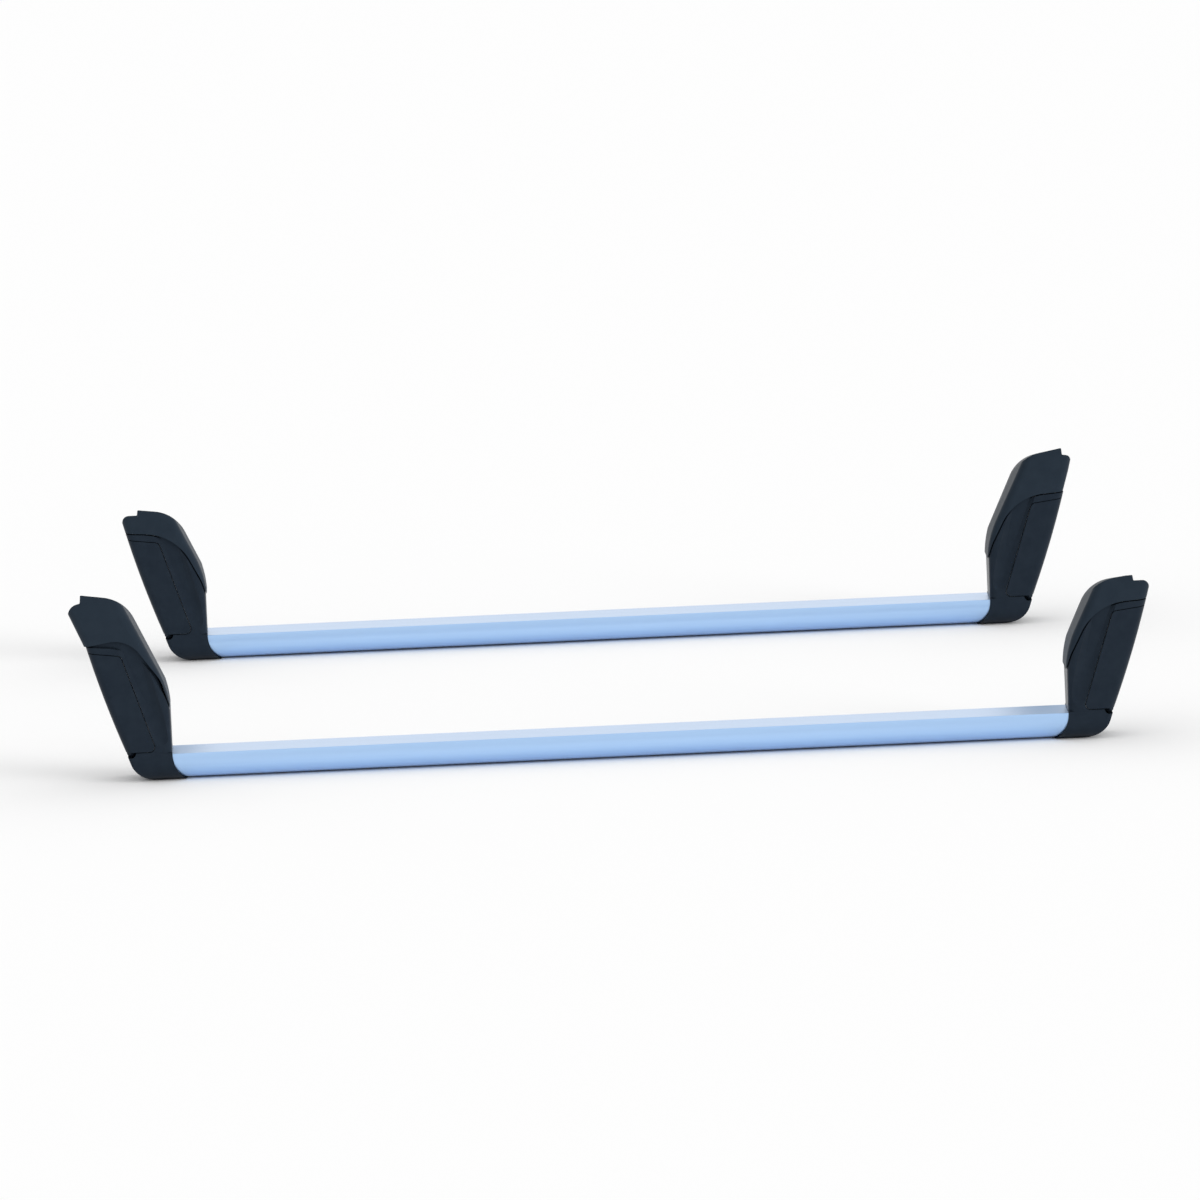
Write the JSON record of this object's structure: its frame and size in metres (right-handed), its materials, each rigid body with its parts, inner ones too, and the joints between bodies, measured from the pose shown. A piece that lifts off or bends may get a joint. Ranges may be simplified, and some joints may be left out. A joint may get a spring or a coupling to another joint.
{
  "type": "pair of roof crossbars",
  "caption": "Two aluminium roof crossbars of unequal length, each with a leaning black foot at either end, a hinged cover over its captive fixing bolt and a soft base boot.",
  "frame": {"origin": "on the floor under the middle of the pair, which lies on its load faces with the feet up, as pictured", "axes": "X along the bars, -Y towards the longer front bar, +Z from the load faces to the feet; in use the pair is turned over"},
  "size_m": [1.0744, 0.7812, 0.1943],
  "materials": {
    "anodised_bar": "satin anodised",
    "black_plastic": "satin moulded",
    "black_rubber": "matt",
    "pad_plastic": "matt",
    "cast_bracket": "as cast",
    "nylon_washer": "smooth",
    "plated_steel": "zinc plated"
  },
  "bodies": {
    "bars_and_feet": {"bar_extrusion_front": "anodised_bar", "bar_extrusion_rear": "anodised_bar", "bar_screws_front_left": "plated_steel", "bar_screws_front_right": "plated_steel", "bar_screws_rear_left": "plated_steel", "bar_screws_rear_right": "plated_steel", "base_pad_front_left": "pad_plastic", "base_pad_front_right": "pad_plastic", "base_pad_rear_left": "pad_plastic", "base_pad_rear_right": "pad_plastic", "foot_housing_front_left": "black_plastic", "foot_housing_front_right": "black_plastic", "foot_housing_rear_left": "black_plastic", "foot_housing_rear_right": "black_plastic", "hinge_pin_front_left": "plated_steel", "hinge_pin_front_right": "plated_steel", "hinge_pin_rear_left": "plated_steel", "hinge_pin_rear_right": "plated_steel", "housing_screws_front_left": "plated_steel", "housing_screws_front_right": "plated_steel", "housing_screws_rear_left": "plated_steel", "housing_screws_rear_right": "plated_steel", "skirt_front_left": "black_rubber", "skirt_front_right": "black_rubber", "skirt_rear_left": "black_rubber", "skirt_rear_right": "black_rubber", "slot_strip_front": "black_rubber", "slot_strip_rear": "black_rubber", "support_bracket_front_left": "cast_bracket", "support_bracket_front_right": "cast_bracket", "support_bracket_rear_left": "cast_bracket", "support_bracket_rear_right": "cast_bracket"},
    "cover_front_left": {"access_cover_front_left": "black_plastic"},
    "retainer_front_left": {"retaining_washer_front_left": "nylon_washer"},
    "bolt_front_left": {"fixing_bolt_front_left": "plated_steel"},
    "cover_front_right": {"access_cover_front_right": "black_plastic"},
    "retainer_front_right": {"retaining_washer_front_right": "nylon_washer"},
    "bolt_front_right": {"fixing_bolt_front_right": "plated_steel"},
    "cover_rear_left": {"access_cover_rear_left": "black_plastic"},
    "retainer_rear_left": {"retaining_washer_rear_left": "nylon_washer"},
    "bolt_rear_left": {"fixing_bolt_rear_left": "plated_steel"},
    "cover_rear_right": {"access_cover_rear_right": "black_plastic"},
    "retainer_rear_right": {"retaining_washer_rear_right": "nylon_washer"},
    "bolt_rear_right": {"fixing_bolt_rear_right": "plated_steel"}
  },
  "joints": [
    {"name": "cover_hinge_front_left", "type": "hinge", "parent": "bars_and_feet", "child": "cover_front_left", "pos_m": [-0.48169, -0.34907, 0.0303], "axis": [0, -1, 0], "range_deg": [0, 60]},
    {"name": "bolt_float_front_left", "type": "slide", "parent": "bars_and_feet", "child": "retainer_front_left", "axis": [0, 0, 1], "range_m": [0, 0.014]},
    {"name": "bolt_turn_front_left", "type": "hinge", "parent": "retainer_front_left", "child": "bolt_front_left", "pos_m": [-0.50275, -0.34907, 0.15679], "axis": [0, 0, 1], "continuous": true},
    {"name": "cover_hinge_front_right", "type": "hinge", "parent": "bars_and_feet", "child": "cover_front_right", "pos_m": [0.4946, -0.34907, 0.0303], "axis": [0, 1, 0], "range_deg": [0, 60]},
    {"name": "bolt_float_front_right", "type": "slide", "parent": "bars_and_feet", "child": "retainer_front_right", "axis": [0, 0, 1], "range_m": [0, 0.014]},
    {"name": "bolt_turn_front_right", "type": "hinge", "parent": "retainer_front_right", "child": "bolt_front_right", "pos_m": [0.50965, -0.34907, 0.13548], "axis": [0, 0, 1], "continuous": true},
    {"name": "cover_hinge_rear_left", "type": "hinge", "parent": "bars_and_feet", "child": "cover_rear_left", "pos_m": [-0.44749, 0.35093, 0.0303], "axis": [0, -1, 0], "range_deg": [0, 60]},
    {"name": "bolt_float_rear_left", "type": "slide", "parent": "bars_and_feet", "child": "retainer_rear_left", "axis": [0, 0, 1], "range_m": [0, 0.014]},
    {"name": "bolt_turn_rear_left", "type": "hinge", "parent": "retainer_rear_left", "child": "bolt_rear_left", "pos_m": [-0.46255, 0.35093, 0.13548], "axis": [0, 0, 1], "continuous": true},
    {"name": "cover_hinge_rear_right", "type": "hinge", "parent": "bars_and_feet", "child": "cover_rear_right", "pos_m": [0.4604, 0.35093, 0.0303], "axis": [0, 1, 0], "range_deg": [0, 60]},
    {"name": "bolt_float_rear_right", "type": "slide", "parent": "bars_and_feet", "child": "retainer_rear_right", "axis": [0, 0, 1], "range_m": [0, 0.014]},
    {"name": "bolt_turn_rear_right", "type": "hinge", "parent": "retainer_rear_right", "child": "bolt_rear_right", "pos_m": [0.48145, 0.35093, 0.154], "axis": [0, 0, 1], "continuous": true}
  ]
}
